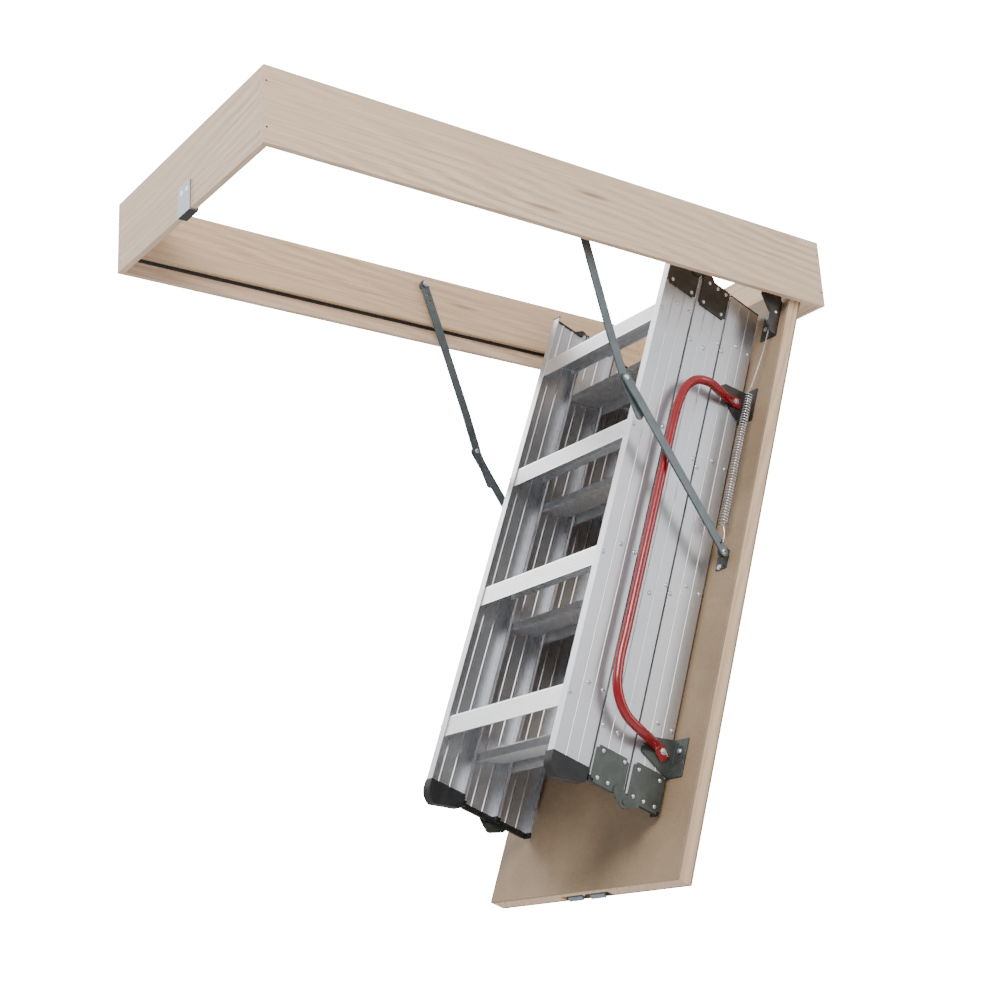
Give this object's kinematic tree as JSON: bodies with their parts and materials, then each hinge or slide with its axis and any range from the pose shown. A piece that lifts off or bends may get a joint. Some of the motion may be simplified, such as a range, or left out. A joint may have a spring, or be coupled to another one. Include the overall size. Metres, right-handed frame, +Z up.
{
  "type": "attic ladder",
  "caption": "Folding aluminium attic ladder in sections on a sprung wooden hatch in a timber frame, with jointed stay arms, a latch and a bent handrail.",
  "frame": {"origin": "centre of the header board's outer face, at the hinge end of the frame", "axes": "+X out of the header away from the opening, the frame runs towards -X; +Y across the frame, towards the side with no handrail; +Z up"},
  "size_m": [1.3768, 0.6, 1.3767],
  "materials": {
    "pine": "planed, bare",
    "panel_skin": "smooth hardboard skin",
    "aluminium": "satin mill finish",
    "dark_steel": "semi-gloss dark grey",
    "zinc": "bright zinc plate",
    "red_paint": "gloss red",
    "foot_rubber": "moulded, matt"
  },
  "bodies": {
    "frame": {"frame_side_near": "pine", "frame_side_far": "pine", "frame_end_latch": "pine", "frame_end_hinge": "pine", "stop_batten_near": "pine", "stop_batten_far": "pine", "stop_batten_latch": "pine", "keeper_plate": "zinc", "hinge_leaf_fixed": "dark_steel"},
    "hatch": {"hatch_core": "pine", "hatch_skin_attic": "panel_skin", "hatch_skin_room": "panel_skin", "hinge_leaf_moving": "dark_steel", "latch_plate": "zinc", "handrail": "red_paint", "spring_near": "zinc", "spring_far": "zinc", "spring_bracket_near": "dark_steel", "spring_bracket_far": "dark_steel", "arm_bracket_near": "dark_steel", "arm_bracket_far": "dark_steel", "ladder_bracket_low_near": "dark_steel", "ladder_bracket_low_far": "dark_steel", "ladder_bracket_high_near": "dark_steel", "ladder_bracket_high_far": "dark_steel", "low_plate_upper_near": "dark_steel", "low_plate_upper_far": "dark_steel", "upper_stile_near": "aluminium", "upper_stile_far": "aluminium", "upper_tread_1": "aluminium", "upper_tread_2": "aluminium", "upper_tread_3": "aluminium", "upper_tread_4": "aluminium"},
    "middle_section": {"middle_stile_near": "aluminium", "middle_stile_far": "aluminium", "low_plate_middle_near": "dark_steel", "low_plate_middle_far": "dark_steel", "high_plate_middle_near": "dark_steel", "high_plate_middle_far": "dark_steel", "middle_tread_1": "aluminium", "middle_tread_2": "aluminium", "middle_tread_3": "aluminium", "middle_tread_4": "aluminium"},
    "lower_section": {"lower_stile_near": "aluminium", "lower_stile_far": "aluminium", "high_plate_lower_near": "dark_steel", "high_plate_lower_far": "dark_steel", "foot_near": "foot_rubber", "foot_far": "foot_rubber", "lower_tread_1": "aluminium", "lower_tread_2": "aluminium", "lower_tread_3": "aluminium", "lower_tread_4": "aluminium"},
    "latch_tongue_near": {"latch_tongue_near": "zinc"},
    "latch_tongue_far": {"latch_tongue_far": "zinc"},
    "pull_ring": {"pull_ring": "zinc"},
    "upper_arm_near": {"upper_arm_near": "dark_steel"},
    "upper_arm_far": {"upper_arm_far": "dark_steel"},
    "lower_arm_near": {"lower_arm_near": "dark_steel"},
    "lower_arm_far": {"lower_arm_far": "dark_steel"}
  },
  "joints": [
    {"name": "hatch_hinge", "type": "hinge", "parent": "frame", "child": "hatch", "pos_m": [-0.0529, 0, -0.082], "axis": [0, -1, 0], "range_deg": [-69.25, 0]},
    {"name": "middle_fold", "type": "hinge", "parent": "hatch", "child": "middle_section", "pos_m": [-0.59931, 0, -1.14432], "axis": [0, -1, 0], "range_deg": [0, 180]},
    {"name": "lower_fold", "type": "hinge", "parent": "middle_section", "child": "lower_section", "pos_m": [-0.26449, 0, -0.0136], "axis": [0, 1, 0], "range_deg": [0, 180]},
    {"name": "pull_ring_hinge", "type": "hinge", "parent": "hatch", "child": "pull_ring", "pos_m": [-0.48988, 0, -1.24245], "axis": [0, -1, 0], "range_deg": [-25, 85]},
    {"name": "latch_slide_near", "type": "slide", "parent": "hatch", "child": "latch_tongue_near", "axis": [-0.3543, 0, -0.9351], "range_m": [-0.006, 0], "stiffness_N_per_m": 250, "springref_m": 0.004},
    {"name": "latch_slide_far", "type": "slide", "parent": "hatch", "child": "latch_tongue_far", "axis": [-0.3543, 0, -0.9351], "range_m": [-0.006, 0], "stiffness_N_per_m": 250, "springref_m": 0.004},
    {"name": "upper_arm_pivot_near", "type": "hinge", "parent": "frame", "child": "upper_arm_near", "pos_m": [-0.667, -0.2605, 0.047], "axis": [0, -1, 0], "range_deg": [-119.12, 0]},
    {"name": "lower_arm_pivot_near", "type": "hinge", "parent": "hatch", "child": "lower_arm_near", "pos_m": [-0.33376, -0.2545, -0.65678], "axis": [0, -1, 0], "range_deg": [0, 102.07]},
    {"name": "upper_arm_pivot_far", "type": "hinge", "parent": "frame", "child": "upper_arm_far", "pos_m": [-0.667, 0.2605, 0.047], "axis": [0, -1, 0], "range_deg": [-119.12, 0]},
    {"name": "lower_arm_pivot_far", "type": "hinge", "parent": "hatch", "child": "lower_arm_far", "pos_m": [-0.33376, 0.2545, -0.65678], "axis": [0, -1, 0], "range_deg": [0, 102.07]}
  ],
  "couplings": [
    {"joint": "lower_fold", "follows": "middle_fold", "ratio": 1},
    {"joint": "upper_arm_pivot_near", "follows": "hatch_hinge", "ratio": 1.72},
    {"joint": "lower_arm_pivot_near", "follows": "hatch_hinge", "ratio": -1.4738},
    {"joint": "upper_arm_pivot_far", "follows": "hatch_hinge", "ratio": 1.72},
    {"joint": "lower_arm_pivot_far", "follows": "hatch_hinge", "ratio": -1.4738}
  ]
}
